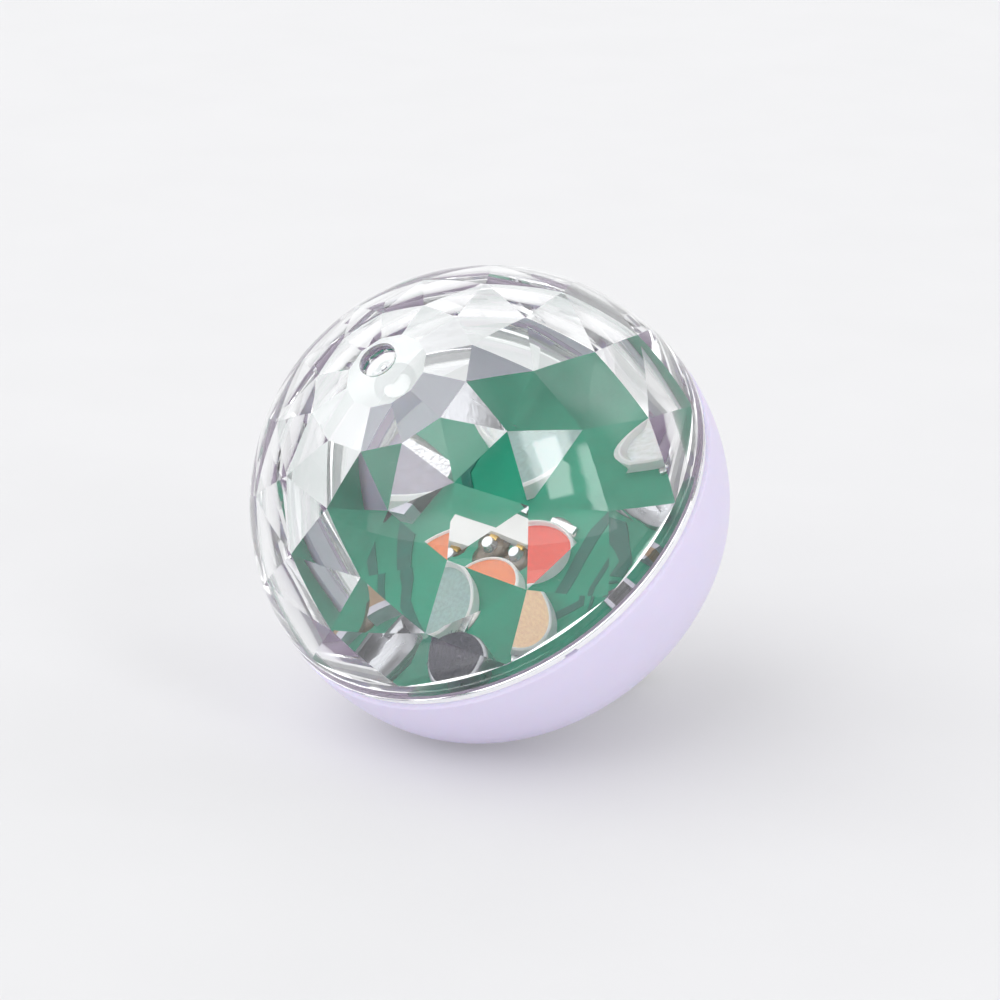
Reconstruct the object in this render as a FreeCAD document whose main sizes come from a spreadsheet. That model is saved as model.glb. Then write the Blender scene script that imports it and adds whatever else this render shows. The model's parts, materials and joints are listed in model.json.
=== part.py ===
import FreeCAD, Part
import math
import os
import re

import Sketcher

# Mini disco light: a clear half ball with moulded facets inside, snapped on a lavender
# bowl that holds a round circuit board and a USB plug.
# All pieces are drawn in the lamp's own frame, where z runs up the ball's axis and the
# rim between dome and bowl is z = 0. One frame, "Lamp", then lays them down as the lamp
# lies on a table: on the bowl's shoulder and on the tip of its plug.

# Driving sizes in millimetres and degrees
SIZES = {
    # ball and bowl
    "ball_radius": 25.0,
    "shell_wall": 2.2,
    "base_depth": 16.5,
    "flat_inset": 2.86,
    "shoulder_angle": 70.0,
    "rim_round": 0.35,
    # dome
    "rim_band_height": 1.2,
    "flange_inset": 0.45,
    "flange_thickness": 0.6,
    "skirt_depth": 1.8,
    "skirt_clearance": 0.25,
    "skirt_wall": 0.85,
    "snap_bead_radius": 0.3,
    "snap_clearance": 0.05,
    "pry_notch_width": 1.4,
    "pry_notch_depth": 0.45,
    "pry_notch_angle": -31.0,
    "recess_radius": 2.0,
    "recess_depth": 1.6,
    "recess_corner": 1.2,
    "gate_radius": 0.35,
    "gate_height": 0.25,
    # facets inside the dome
    "dome_wall": 3.1,
    "facet_count": 12,
    "facet_clock_angle": -0.85,
    "facet_cap_angle": 11.0,
    "facet_ring_2_angle": 22.4,
    "facet_ring_3_angle": 37.6,
    "facet_ring_4_angle": 53.5,
    "facet_ring_5_angle": 69.8,
    "facet_ring_6_angle": 86.0,
    # board and its screws
    "board_drop": 3.2,
    "board_thickness": 1.2,
    "board_clearance": 0.25,
    "screw_count": 3,
    "screw_edge_distance": 4.2,
    "screw_angle": 138.6,
    "screw_diameter": 2.0,
    "screw_length": 6.0,
    "screw_head_diameter": 3.8,
    "screw_head_height": 1.3,
    "screw_slot_width": 0.6,
    "screw_slot_depth": 0.7,
    "screw_hole_clearance": 0.4,
    "boss_wall": 1.5,
    # light emitters
    "led_diameter": 4.8,
    "led_height": 0.9,
    "led_chamfer": 0.1,
    "led_window_diameter": 4.5,
    "led_window_slope": 0.15,
    "led_floor": 0.3,
    "led_fill_drop": 0.1,
    "led_deep_fill_drop": 0.3,
    "led_die_side": 0.6,
    "led_die_height": 0.15,
    "led_die_spacing": 1.1,
    "led_lead_width": 1.6,
    "led_lead_length": 0.5,
    "led_lead_thickness": 0.2,
    # microphone
    "mic_edge_distance": 4.5,
    "mic_angle": -64.8,
    "mic_diameter": 6.0,
    "mic_height": 2.7,
    "mic_wall": 0.25,
    "mic_port_radius": 1.0,
    "mic_edge_round": 0.3,
    "mic_felt_diameter": 5.5,
    "mic_felt_thickness": 0.3,
    "mic_pin_diameter": 0.5,
    "mic_pin_spacing": 2.54,
    "mic_pin_rise": 0.6,
    "mic_hole_clearance": 0.25,
    # USB plug, type A
    "plug_width": 12.0,
    "plug_height": 4.5,
    "plug_reach": 12.0,
    "plug_metal": 0.3,
    "plug_corner": 0.6,
    "plug_slot_clearance": 0.1,
    "window_width": 2.5,
    "window_length": 2.0,
    "window_from_tip": 5.2,
    "window_offset": 2.9,
    "tongue_thickness": 1.85,
    "tongue_inset": 0.4,
    "tongue_side_gap": 0.3,
    "contact_width": 1.0,
    "contact_thickness": 0.25,
    "contact_inset": 1.1,
    "contact_outer_spacing": 7.0,
    "contact_inner_spacing": 2.0,
    "contact_bend_rise": 2.0,
    "carrier_height": 5.35,
    "carrier_overlap": 0.7,
    "collar_wall": 1.3,
    "tail_offset": 1.75,
    "tail_thickness": 1.3,
    "tail_rise": 0.6,
    "tail_end": 0.75,
    "tail_slot_clearance": 0.1,
    "leg_pitch": 1.9,
    "leg_width": 0.5,
    "leg_reach": 0.85,
    "joint_from_tail": 0.55,
    "joint_base_radius": 0.45,
    "joint_tip_radius": 0.3,
    "joint_height": 0.45,
    # small parts on the board
    "chip_body_length": 4.9,
    "chip_body_width": 3.9,
    "chip_body_height": 1.45,
    "chip_pitch": 1.27,
    "chip_leg_reach": 1.05,
    "chip_leg_width": 0.42,
    "chip_leg_thickness": 0.2,
    "chip_leg_rise": 0.7,
    "resistor_length": 3.2,
    "resistor_width": 1.6,
    "resistor_height": 0.6,
    "resistor_cap": 0.45,
    "capacitor_length": 2.0,
    "capacitor_width": 1.25,
    "capacitor_height": 1.0,
    "capacitor_cap": 0.4,
    "transistor_length": 2.9,
    "transistor_width": 1.3,
    "transistor_height": 1.0,
    "transistor_leg_width": 0.4,
    "transistor_leg_reach": 0.55,
    "transistor_leg_thickness": 0.2,
    "transistor_leg_spacing": 1.9,
    # how far a cutting tool runs past what it cuts
    "overrun": 1.0,
}

# Sizes that follow from others, as formulas of the same sheet
DERIVED = {
    "flat_radius": "sqrt(ball_radius ^ 2 - base_depth ^ 2) - flat_inset",
    "neck_radius": "(ball_radius ^ 2 - flat_radius ^ 2 - base_depth ^ 2) / (2 * (ball_radius"
                   " - flat_radius * sin(shoulder_angle) - base_depth * cos(shoulder_angle)))",
    "shoulder_radius": "ball_radius - neck_radius",
    "inner_radius": "ball_radius - shell_wall",
    "inner_shoulder_radius": "shoulder_radius - shell_wall",
    "floor_depth": "base_depth - shell_wall",
    "flange_radius": "ball_radius - flange_inset",
    "skirt_radius": "inner_radius - skirt_clearance",
    "facet_radius": "ball_radius - dome_wall",
    "board_top": "0 - board_drop",
    "board_bottom": "board_top - board_thickness",
    "board_radius": "sqrt(inner_radius ^ 2 - board_bottom ^ 2) - board_clearance",
    "screw_circle_radius": "board_radius - screw_edge_distance",
    "mic_circle_radius": "board_radius - mic_edge_distance",
    "plug_tip": "0 - base_depth - plug_reach",
    "plug_back": "board_bottom - carrier_height",
    "tongue_top": "plug_metal + tongue_thickness - plug_height / 2",
    "contact_seat": "tongue_top + contact_thickness / 2",
    "tail_face": "0 - tail_offset - tail_thickness / 2",
    "tail_width": "3 * leg_pitch + 2 * tail_end",
}

# Places of the emitters, in shares of the board's radius, and their turns
LED_PLACE_SHARES = (
    (0.1324, -0.2735), (-0.2667, -0.208), (0.3752, -0.0859), (0.5312, -0.443), (0.0746, -0.5085),
    (-0.0203, 0.4024), (0.5063, 0.5741), (-0.4159, 0.4476), (-0.6781, 0.1175),
)
LED_TURNS = (0, 0, 90, 110, 0, 0, 135, 90, 90)
DEEP_LEDS = (3, 5, 6, 7, 8, 9)

# Places of the small parts, in shares of the board's radius, and their turns
CHIP_PLACE_SHARE = (0.104, 0.1)
CHIP_TURN = 0
RESISTOR_PLACE_SHARES = ((0.84, -0.155), (-0.19, 0.723), (-0.705, -0.163), (0.289, 0.152), (-0.484, -0.045))
RESISTOR_TURNS = (72, 20, 110, 90, 90)
CAPACITOR_PLACE_SHARES = ((0.86, 0.07), (0.24, 0.57), (-0.57, -0.443), (-0.335, -0.785), (-0.26, 0.389))
CAPACITOR_TURNS = (80, 0, 50, 25, 90)
TRANSISTOR_PLACE_SHARES = ((0.6, 0.163), (-0.556, -0.249))
TRANSISTOR_TURNS = (20, 100)

# The plug's contacts from left to right, and the leg in the plug's tail that each one ends in
CONTACT_PLACES = ("0 - contact_outer_spacing / 2", "0 - contact_inner_spacing / 2",
                  "contact_inner_spacing / 2", "contact_outer_spacing / 2")
LEG_PLACES = tuple(f"leg_pitch * {step} - leg_pitch * 3 / 2" for step in range(4))

doc = FreeCAD.newDocument("mini_disco_light")
os.makedirs("parts", exist_ok=True)
sheet = doc.addObject("Spreadsheet::Sheet", "Sizes")
for row, (alias, value) in enumerate((SIZES | {name: f"={text}" for name, text in DERIVED.items()}).items(), 1):
    sheet.set(f"A{row}", alias)
    sheet.set(f"B{row}", str(value))
    sheet.setAlias(f"B{row}", alias)
doc.recompute()
lamp = doc.addObject("App::Placement", "Lamp")
NAMES = {*SIZES, *DERIVED}
nodes = []


# Reading and binding sizes

def formula(text):
    """Put the sheet's name before every size that a formula names."""
    def full_name(word):
        return f"Sizes.{word.group()}" if word.group() in NAMES else word.group()
    return re.sub(r"[A-Za-z_]\w*", full_name, text)


def measure(text):
    """What a formula comes to with the sheet's present sizes."""
    return float(sheet.evalExpression(formula(text)))


def bind(item, name, text):
    item.setExpression(name, formula(text))


def spot(x, y, z, turn="0"):
    """A place in the lamp's frame, turned about its axis."""
    return f"placement(vector({x}; {y}; {z}); rotation(vector(0; 0; 1); {turn}))"


def node(item, label, place=None):
    """Name a finished sub-part and lay it down with the lamp."""
    item.Label = label
    bind(item, "Placement", "Lamp.Placement" + (f" * {place}" if place else ""))
    nodes.append(item)
    return item


# Sketches, turned pieces and plates

def sketch_on(body, plane):
    sketch = body.newObject("Sketcher::SketchObject", body.Name + "Sketch")
    support = [item for item in body.Origin.OriginFeatures if item.Role == plane][0]
    sketch.AttachmentSupport = [(support, "")]
    sketch.MapMode = "FlatFace"
    return sketch


def pin_point(sketch, edge, end, x, y):
    """Tie one end of an edge to its distances from the sketch's origin."""
    for kind, axis, text in (("DistanceX", -2, x), ("DistanceY", -1, y)):
        if text == "0":
            sketch.addConstraint(Sketcher.Constraint("PointOnObject", edge, end, axis))
        elif measure(text) < 0:
            index = sketch.addConstraint(Sketcher.Constraint(kind, edge, end, -1, 1, -measure(text)))
            bind(sketch, f"Constraints[{index}]", f"0 - ({text})")
        else:
            index = sketch.addConstraint(Sketcher.Constraint(kind, -1, 1, edge, end, measure(text)))
            bind(sketch, f"Constraints[{index}]", text)


def draw(sketch, corners, bows=None):
    """Draw a closed outline through corners given as formulas.

    A bow names the side after a corner that is an arc: its radius, and whether it
    bulges to the left or the right of the way the outline runs.
    """
    bows = bows or {}
    places = [FreeCAD.Vector(measure(x), measure(y), 0) for x, y in corners]
    ends = []
    for index, start in enumerate(places):
        finish = places[(index + 1) % len(places)]
        if index in bows:
            radius, side = bows[index]
            radius = measure(radius)
            chord = finish - start
            rise = radius - math.sqrt(max(radius ** 2 - (chord.Length / 2) ** 2, 0))
            across = FreeCAD.Vector(-chord.y, chord.x, 0).normalize()
            middle = (start + finish) / 2 + across * (rise if side == "left" else -rise)
            first, last = (finish, start) if side == "left" else (start, finish)
            edge = sketch.addGeometry(Part.Arc(first, middle, last), False)
            ends.append((edge, 2, 1) if side == "left" else (edge, 1, 2))
        else:
            edge = sketch.addGeometry(Part.LineSegment(start, finish), False)
            ends.append((edge, 1, 2))
    for index, (edge, first, last) in enumerate(ends):
        after, after_first, _ = ends[(index + 1) % len(ends)]
        sketch.addConstraint(Sketcher.Constraint("Coincident", edge, last, after, after_first))
    for index, (edge, first, last) in enumerate(ends):
        pin_point(sketch, edge, first, *corners[index])
        if index in bows:
            radius = bows[index][0]
            number = sketch.addConstraint(Sketcher.Constraint("Radius", edge, measure(radius)))
            bind(sketch, f"Constraints[{number}]", radius)


def draw_circle(sketch, x, y, radius):
    centre = FreeCAD.Vector(measure(x), measure(y), 0)
    edge = sketch.addGeometry(Part.Circle(centre, FreeCAD.Vector(0, 0, 1), measure(radius)), False)
    pin_point(sketch, edge, 3, x, y)
    number = sketch.addConstraint(Sketcher.Constraint("Radius", edge, measure(radius)))
    bind(sketch, f"Constraints[{number}]", radius)


def turned(name, corners, bows=None):
    """A piece turned about the upright axis, from its half outline."""
    body = doc.addObject("PartDesign::Body", name)
    sketch = sketch_on(body, "XZ_Plane")
    draw(sketch, corners, bows)
    turn = body.newObject("PartDesign::Revolution", name + "Turn")
    turn.Profile = sketch
    turn.ReferenceAxis = (sketch, ["V_Axis"])
    turn.Angle = 360
    return body


def padded(name, thickness, loops=(), circles=()):
    """A plate or bar raised from its outlines and holes."""
    body = doc.addObject("PartDesign::Body", name)
    sketch = sketch_on(body, "XY_Plane")
    for corners, bows in loops:
        draw(sketch, corners, bows)
    for x, y, radius in circles:
        draw_circle(sketch, x, y, radius)
    pad = body.newObject("PartDesign::Pad", name + "Pad")
    pad.Profile = sketch
    bind(pad, "Length", thickness)
    return body


def rounded_rectangle(width, height, corner):
    """Corners and bows of a rectangle about the origin with rounded corners."""
    x, y = f"{width} / 2", f"{height} / 2"
    corners = [
        (f"{x} - {corner}", f"0 - {y}"), (x, f"{corner} - {y}"),
        (x, f"{y} - {corner}"), (f"{x} - {corner}", y),
        (f"{corner} - {x}", y), (f"0 - {x}", f"{y} - {corner}"),
        (f"0 - {x}", f"{corner} - {y}"), (f"{corner} - {x}", f"0 - {y}"),
    ]
    return corners, {index: (corner, "right") for index in (0, 2, 4, 6)}


# Plain solids and what is made of them

def block(name, length, width, height, place, lift="0"):
    """A box centred on a place, standing on it or lifted from it."""
    item = doc.addObject("Part::Box", name)
    bind(item, "Length", length)
    bind(item, "Width", width)
    bind(item, "Height", height)
    bind(item, "Placement", f"{place} * {spot(f'0 - ({length}) / 2', f'0 - ({width}) / 2', lift)}")
    return item


def rod(name, radius, height, place):
    item = doc.addObject("Part::Cylinder", name)
    bind(item, "Radius", radius)
    bind(item, "Height", height)
    bind(item, "Placement", place)
    return item


def hoop(name, ring, thickness, z):
    item = doc.addObject("Part::Torus", name)
    bind(item, "Radius1", ring)
    bind(item, "Radius2", thickness)
    bind(item, "Placement", spot("0", "0", z))
    return item


def cut(name, whole, tool):
    item = doc.addObject("Part::Cut", name)
    item.Base = whole
    item.Tool = tool
    return item


def joined(name, pieces):
    item = doc.addObject("Part::MultiFuse", name)
    item.Shapes = pieces
    return item


def grouped(name, pieces):
    item = doc.addObject("Part::Compound", name)
    item.Links = pieces
    return item


def around(radius, angle, step, count):
    """The x and y formulas of one place of a pattern round the axis."""
    turn = f"({angle} + {step} * 360 / {count})"
    return f"{radius} * cos({turn})", f"{radius} * sin({turn})"


# The lamp's frame: tilted until the shoulder and the plug's tip both touch the table
def lay_down():
    across = "(plug_height / 2 - neck_radius * sin(shoulder_angle))"
    along = "(base_depth + plug_reach - neck_radius * cos(shoulder_angle))"
    tilt = f"((acos(shoulder_radius / sqrt({across} ^ 2 + {along} ^ 2)) + atan({across} / {along})) / 1deg)"
    back = f"(neck_radius - neck_radius * cos(shoulder_angle - 90 + {tilt})) / 2"
    rise = f"shoulder_radius + neck_radius * cos(shoulder_angle - {tilt})"
    bind(lamp, "Placement", f"placement(vector(0; {back}; {rise}); rotation(vector(1; 0; 0); {tilt}))")
    doc.recompute()
    print("lamp lies at", lamp.Placement)


# Bowl: turned outside and inside, with three screw bosses and a collar for the plug
def make_base_shell():
    outside = turned("BowlOutside", [
        ("0", "0"), ("ball_radius - rim_round", "0"),
        ("sqrt(ball_radius ^ 2 - rim_round ^ 2)", "0 - rim_round"),
        ("ball_radius * sin(shoulder_angle)", "0 - ball_radius * cos(shoulder_angle)"),
        ("flat_radius", "0 - base_depth"), ("0", "0 - base_depth"),
    ], {1: ("rim_round", "left"), 2: ("ball_radius", "left"), 3: ("shoulder_radius", "left")})
    floor_edge = ("neck_radius * sin(shoulder_angle) + sqrt(inner_shoulder_radius ^ 2"
                  " - (floor_depth - neck_radius * cos(shoulder_angle)) ^ 2)")
    inside = turned("BowlInside", [
        ("0", "0"), ("inner_radius", "0"),
        ("inner_radius * sin(shoulder_angle)", "0 - inner_radius * cos(shoulder_angle)"),
        (floor_edge, "0 - floor_depth"), ("0", "0 - floor_depth"),
    ], {1: ("inner_radius", "left"), 2: ("inner_shoulder_radius", "left")})
    standing = []
    removed = []
    for step in range(int(SIZES["screw_count"])):
        x, y = around("screw_circle_radius", "screw_angle", step, "screw_count")
        standing.append(rod(f"Boss{step}", "screw_diameter / 2 + boss_wall", "base_depth + board_bottom",
                            spot(x, y, "0 - base_depth")))
        removed.append(rod(f"Pilot{step}", "screw_diameter / 2", "screw_length",
                           spot(x, y, "board_top - screw_length")))
    slot = ("plug_width + 2 * plug_slot_clearance", "plug_height + 2 * plug_slot_clearance")
    standing.append(block("Collar", f"{slot[0]} + 2 * collar_wall", f"{slot[1]} + 2 * collar_wall",
                          "base_depth + plug_back", spot("0", "0", "0 - base_depth")))
    removed.append(block("PlugSlot", *slot, "base_depth + plug_back + 2 * overrun",
                         spot("0", "0", "0 - base_depth - overrun")))
    removed.append(hoop("SnapGroove", "skirt_radius", "snap_bead_radius + snap_clearance",
                        "0 - skirt_depth / 2"))
    hollow = cut("BowlHollow", inside, joined("BowlPosts", standing))
    walls = cut("BowlWalls", outside, hollow)
    node(cut("BaseShell", walls, joined("BowlCuts", removed)), "base_shell")


# Dome: smooth outside, moulded facets inside, with a gate recess at its top
def facet_corner(ring, step):
    """A corner of the facets: every other ring is turned by half a step."""
    angle = math.radians(measure(FACET_RINGS[ring]))
    share = step + (0.5 if ring % 2 or ring == 0 else 0)
    turn = math.radians(measure("facet_clock_angle") + 360 * share / measure("facet_count"))
    radius = measure("facet_radius")
    return FreeCAD.Vector(radius * math.sin(angle) * math.cos(turn), radius * math.sin(angle) * math.sin(turn),
                          radius * math.cos(angle))


FACET_RINGS = ("facet_cap_angle", "facet_ring_2_angle", "facet_ring_3_angle", "facet_ring_4_angle",
               "facet_ring_5_angle", "facet_ring_6_angle")


def face_of(corners):
    return Part.Face(Part.makePolygon(corners + corners[:1]))


def make_facets():
    """The hollow of the dome: a flat cap, a band of four-sided facets and four bands of triangles."""
    count = int(measure("facet_count"))
    last = len(FACET_RINGS) - 1
    faces = [face_of([facet_corner(0, step) for step in range(count)]),
             face_of([facet_corner(last, step) for step in range(count)])]
    for step in range(count):
        faces.append(face_of([facet_corner(0, step), facet_corner(0, step + 1),
                              facet_corner(1, step + 1), facet_corner(1, step)]))
        for ring in range(1, last):
            below = step + (1 if ring % 2 else 0)
            here, beside = facet_corner(ring, step), facet_corner(ring, step + 1)
            faces.append(face_of([here, beside, facet_corner(ring + 1, below)]))
            faces.append(face_of([here, facet_corner(ring + 1, below - 1), facet_corner(ring + 1, below)]))
    item = doc.addObject("Part::Feature", "FacetHollow")
    solid = Part.Solid(Part.Shell(faces))
    if solid.Volume < 0:
        solid.reverse()
    item.Shape = solid
    print("facets", len(faces), "hollow volume", round(solid.Volume, 1))
    return item


def make_dome():
    floor = "(ball_radius - recess_depth)"
    blank = turned("DomeBlank", [
        ("0", "0 - skirt_depth"), ("skirt_radius", "0 - skirt_depth"), ("skirt_radius", "0"),
        ("flange_radius", "0"), ("flange_radius", "flange_thickness"),
        ("sqrt(ball_radius ^ 2 - rim_band_height ^ 2)", "rim_band_height"),
        ("recess_radius", "sqrt(ball_radius ^ 2 - recess_radius ^ 2)"),
        ("recess_radius", f"{floor} + recess_corner"),
        ("recess_radius - recess_corner", floor), ("gate_radius", floor),
        ("gate_radius", f"{floor} + gate_height"), ("0", f"{floor} + gate_height"),
    ], {5: ("ball_radius", "right"), 7: ("recess_corner", "left")})
    bead = hoop("SnapBead", "skirt_radius", "snap_bead_radius", "0 - skirt_depth / 2")
    bore = rod("SkirtBore", "skirt_radius - skirt_wall",
               "skirt_depth + overrun + facet_radius * cos(facet_ring_6_angle)",
               spot("0", "0", "0 - skirt_depth - overrun"))
    x, y = around("(flange_radius - pry_notch_depth + overrun)", "pry_notch_angle", 0, 1)
    notch = block("PryNotch", "2 * overrun", "pry_notch_width", "flange_thickness / 2",
                  spot(x, y, "0", "pry_notch_angle"))
    hollow = joined("DomeHollow", [make_facets(), bore, notch])
    node(cut("Dome", joined("DomeBody", [blank, bead]), hollow), "dome")


# Board with its screws
def make_board():
    circles = [("0", "0", "board_radius")]
    screws = []
    for step in range(int(SIZES["screw_count"])):
        x, y = around("screw_circle_radius", "screw_angle", step, "screw_count")
        circles.append((x, y, "(screw_diameter + screw_hole_clearance) / 2"))
        screw = turned(f"Screw{step}", [
            ("0", "0 - screw_length"), ("screw_diameter / 2", "0 - screw_length"), ("screw_diameter / 2", "0"),
            ("screw_head_diameter / 2", "0"), ("screw_head_diameter / 2", "screw_head_height / 2"),
            ("screw_diameter / 2", "screw_head_height"), ("0", "screw_head_height"),
        ], {4: ("screw_head_diameter / 2", "right")})
        place = spot("0", "0", "screw_head_height - screw_slot_depth")
        cross = joined(f"Cross{step}", [
            block(f"CrossA{step}", "screw_diameter", "screw_slot_width", "screw_slot_depth + overrun", place),
            block(f"CrossB{step}", "screw_slot_width", "screw_diameter", "screw_slot_depth + overrun", place),
        ])
        whole = cut(f"ScrewWhole{step}", screw, cross)
        bind(whole, "Placement", spot(x, y, "board_top", f"screw_angle * {step + 1}"))
        screws.append(whole)
    for x, y in mic_pin_places():
        circles.append((x, y, "(mic_pin_diameter + mic_hole_clearance) / 2"))
    side = "(tail_width / 2 + tail_slot_clearance)"
    near, far = "(tail_face - tail_slot_clearance)", "(tail_face + tail_thickness + tail_slot_clearance)"
    slot = [(f"0 - {side}", near), (side, near), (side, far), (f"0 - {side}", far)]
    node(padded("Board", "board_thickness", loops=((slot, {}),), circles=circles), "main_board",
         spot("0", "0", "board_bottom"))
    node(grouped("Screws", screws), "board_screws")


# Emitters: a round white cup with tinted resin over three dies, and a lead at each side
def make_leds():
    dies = []
    leads = []
    radius = "led_diameter / 2"
    rim = "(led_window_diameter / 2)"
    foot = f"({rim} - led_window_slope)"
    for number, (shares, turn) in enumerate(zip(LED_PLACE_SHARES, LED_TURNS), 1):
        place = on_board(shares, turn)
        cup = turned(f"Led{number}Cup", [
            ("0", "0"), (radius, "0"), (radius, "led_height - led_chamfer"),
            (f"{radius} - led_chamfer", "led_height"), (rim, "led_height"), (foot, "led_floor"),
            ("0", "led_floor"),
        ])
        node(cup, f"led_{number}_body", place)
        drop = "led_deep_fill_drop" if number in DEEP_LEDS else "led_fill_drop"
        fill = f"{rim} - led_window_slope * {drop} / (led_height - led_floor)"
        resin = turned(f"Led{number}Resin", [
            ("0", "led_floor"), (foot, "led_floor"), (fill, f"led_height - {drop}"),
            ("0", f"led_height - {drop}"),
        ])
        rooms = []
        for step in (-1, 0, 1):
            die = ("led_die_side", "led_die_side", "led_die_height")
            across_cup = spot("0", f"{step} * led_die_spacing", "led_floor")
            rooms.append(block(f"Led{number}Room{len(rooms)}", *die, across_cup))
            dies.append(block(f"Die{len(dies)}", *die, f"{place} * {across_cup}"))
        node(cut(f"Led{number}Lens", resin, joined(f"Led{number}Rooms", rooms)), f"led_{number}_lens", place)
        for side in ("", "-"):
            out = f"{side}(led_diameter + led_lead_length) / 2"
            leads.append(block(f"Led{number}Lead{len(leads)}", "led_lead_length", "led_lead_width",
                               "led_lead_thickness", f"{place} * {spot(out, '0', '0')}"))
    node(grouped("LedDies", dies), "led_dies")
    node(grouped("LedLeads", leads), "led_leads")


# Microphone: a metal can over its core, with felt on its port and two pins through the board
def mic_place():
    return around("mic_circle_radius", "mic_angle", 0, 1)


def mic_pin_places():
    x, y = mic_place()
    return [(f"{x} {sign} mic_pin_spacing / 2 * cos(mic_angle + 90)",
             f"{y} {sign} mic_pin_spacing / 2 * sin(mic_angle + 90)") for sign in ("+", "-")]


def make_microphone():
    place = spot(*mic_place(), "board_top", "mic_angle")
    inside = "(mic_diameter / 2 - mic_wall)"
    can = turned("MicCan", [
        (inside, "0"), ("mic_diameter / 2", "0"), ("mic_diameter / 2", "mic_height - mic_edge_round"),
        ("mic_diameter / 2 - mic_edge_round", "mic_height"), ("mic_port_radius", "mic_height"),
        ("mic_port_radius", "mic_height - mic_wall"), (inside, "mic_height - mic_wall"),
    ], {2: ("mic_edge_round", "right")})
    node(can, "microphone_can", place)
    core = rod("MicCore", inside, "mic_height - mic_wall", spot("0", "0", "0"))
    node(grouped("MicCoreGroup", [core]), "microphone_core", place)
    felt = rod("MicFelt", "mic_felt_diameter / 2", "mic_felt_thickness", spot("0", "0", "mic_height"))
    node(grouped("MicFeltGroup", [felt]), "microphone_felt", place)
    pins = [rod(f"MicPin{index}", "mic_pin_diameter / 2", "board_thickness + mic_pin_rise",
                spot(x, y, "board_bottom - mic_pin_rise"))
            for index, (x, y) in enumerate(mic_pin_places())]
    node(grouped("MicPins", pins), "microphone_pins")


# USB plug: a folded steel tube, a tongue with four contacts, and a carrier whose tail
# comes up through the board, where each contact ends in a leg soldered beside it
def make_plug():
    length = "(plug_back - plug_tip)"
    outer = rounded_rectangle("plug_width", "plug_height", "plug_corner")
    inner = rounded_rectangle("(plug_width - 2 * plug_metal)", "(plug_height - 2 * plug_metal)",
                              "(plug_corner - plug_metal)")
    tube = padded("PlugTube", length, loops=(outer, inner))
    windows = [block(f"Window{index}", "window_width", "plug_height + 2 * overrun", "window_length",
                     spot(f"{side}window_offset", "0", "window_from_tip"))
               for index, side in enumerate(("", "-"))]
    node(cut("PlugShell", tube, joined("Windows", windows)), "usb_shell", spot("0", "0", "plug_tip"))

    tongue = block("Tongue", "plug_width - 2 * plug_metal - 2 * tongue_side_gap", "tongue_thickness",
                   f"{length} - tongue_inset",
                   spot("0", "tongue_top - tongue_thickness / 2", "plug_tip + tongue_inset"))
    node(grouped("TongueGroup", [tongue]), "usb_tongue")

    contacts = []
    joints = []
    tail_middle = "0 - tail_offset"
    bend = "plug_back + contact_bend_rise"
    leg_length = "tail_thickness / 2 + leg_reach"
    for index, (x, leg_x) in enumerate(zip(CONTACT_PLACES, LEG_PLACES)):
        strip = block(f"Strip{index}", "contact_width", "contact_thickness",
                      f"{bend} + contact_thickness - plug_tip - contact_inset",
                      spot(x, "contact_seat", "plug_tip + contact_inset"))
        back = block(f"Back{index}", "leg_width", "contact_seat + tail_offset + contact_thickness",
                     "contact_thickness", spot(x, "(contact_seat - tail_offset) / 2", bend))
        across = block(f"Across{index}", f"abs({x} - ({leg_x})) + leg_width", "contact_thickness",
                       "contact_thickness", spot(f"({x} + ({leg_x})) / 2", tail_middle, bend))
        pin = block(f"Pin{index}", "leg_width", "contact_thickness",
                    f"board_top + contact_thickness - ({bend})", spot(leg_x, tail_middle, bend))
        leg = block(f"Leg{index}", "leg_width", leg_length, "contact_thickness",
                    spot(leg_x, f"{tail_middle} - ({leg_length}) / 2", "board_top"))
        contacts.append(joined(f"Contact{index}", [strip, back, across, pin, leg]))
        cone = doc.addObject("Part::Cone", f"Joint{index}")
        bind(cone, "Radius1", "joint_base_radius")
        bind(cone, "Radius2", "joint_tip_radius")
        bind(cone, "Height", "joint_height")
        bind(cone, "Placement", spot(leg_x, "tail_face - joint_from_tail", "board_top"))
        joints.append(cut(f"JointCut{index}", cone, contacts[-1]))
    node(grouped("Contacts", contacts), "usb_contacts")
    node(grouped("Joints", joints), "solder_joints")

    carrier = block("Carrier", "plug_width + 2 * carrier_overlap", "plug_height + 2 * carrier_overlap",
                    "carrier_height", spot("0", "0", "plug_back"))
    tail = block("Tail", "tail_width", "tail_thickness", "board_top + tail_rise - plug_back",
                 spot("0", tail_middle, "plug_back"))
    whole = joined("CarrierWhole", [carrier, tail])
    node(cut("CarrierCut", whole, joined("ContactRooms", contacts)), "usb_carrier")


# Small parts on the board
def on_board(shares, turn):
    x, y = (f"{share} * board_radius" for share in shares)
    return spot(x, y, "board_top", str(turn))


def make_controller():
    place = on_board(CHIP_PLACE_SHARE, CHIP_TURN)
    body = block("ChipBody", "chip_body_length", "chip_body_width",
                 "chip_body_height - chip_leg_thickness / 2", place, "chip_leg_thickness / 2")
    node(grouped("Chip", [body]), "controller_chip")
    legs = []
    for row in range(4):
        for side in ("", "-"):
            along = f"{row - 1.5} * chip_pitch"
            out = f"{side}(chip_body_width + chip_leg_reach) / 2"
            near = f"{side}(chip_body_width + chip_leg_reach / 2) / 2"
            foot = block(f"Foot{len(legs)}", "chip_leg_width", "chip_leg_reach", "chip_leg_thickness",
                         f"{place} * {spot(along, out, '0')}")
            shin = block(f"Shin{len(legs)}", "chip_leg_width", "chip_leg_reach / 2", "chip_leg_rise",
                         f"{place} * {spot(along, near, '0')}")
            legs.append(joined(f"Leg{len(legs)}", [foot, shin]))
    node(grouped("ChipLegs", legs), "controller_legs")


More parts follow.
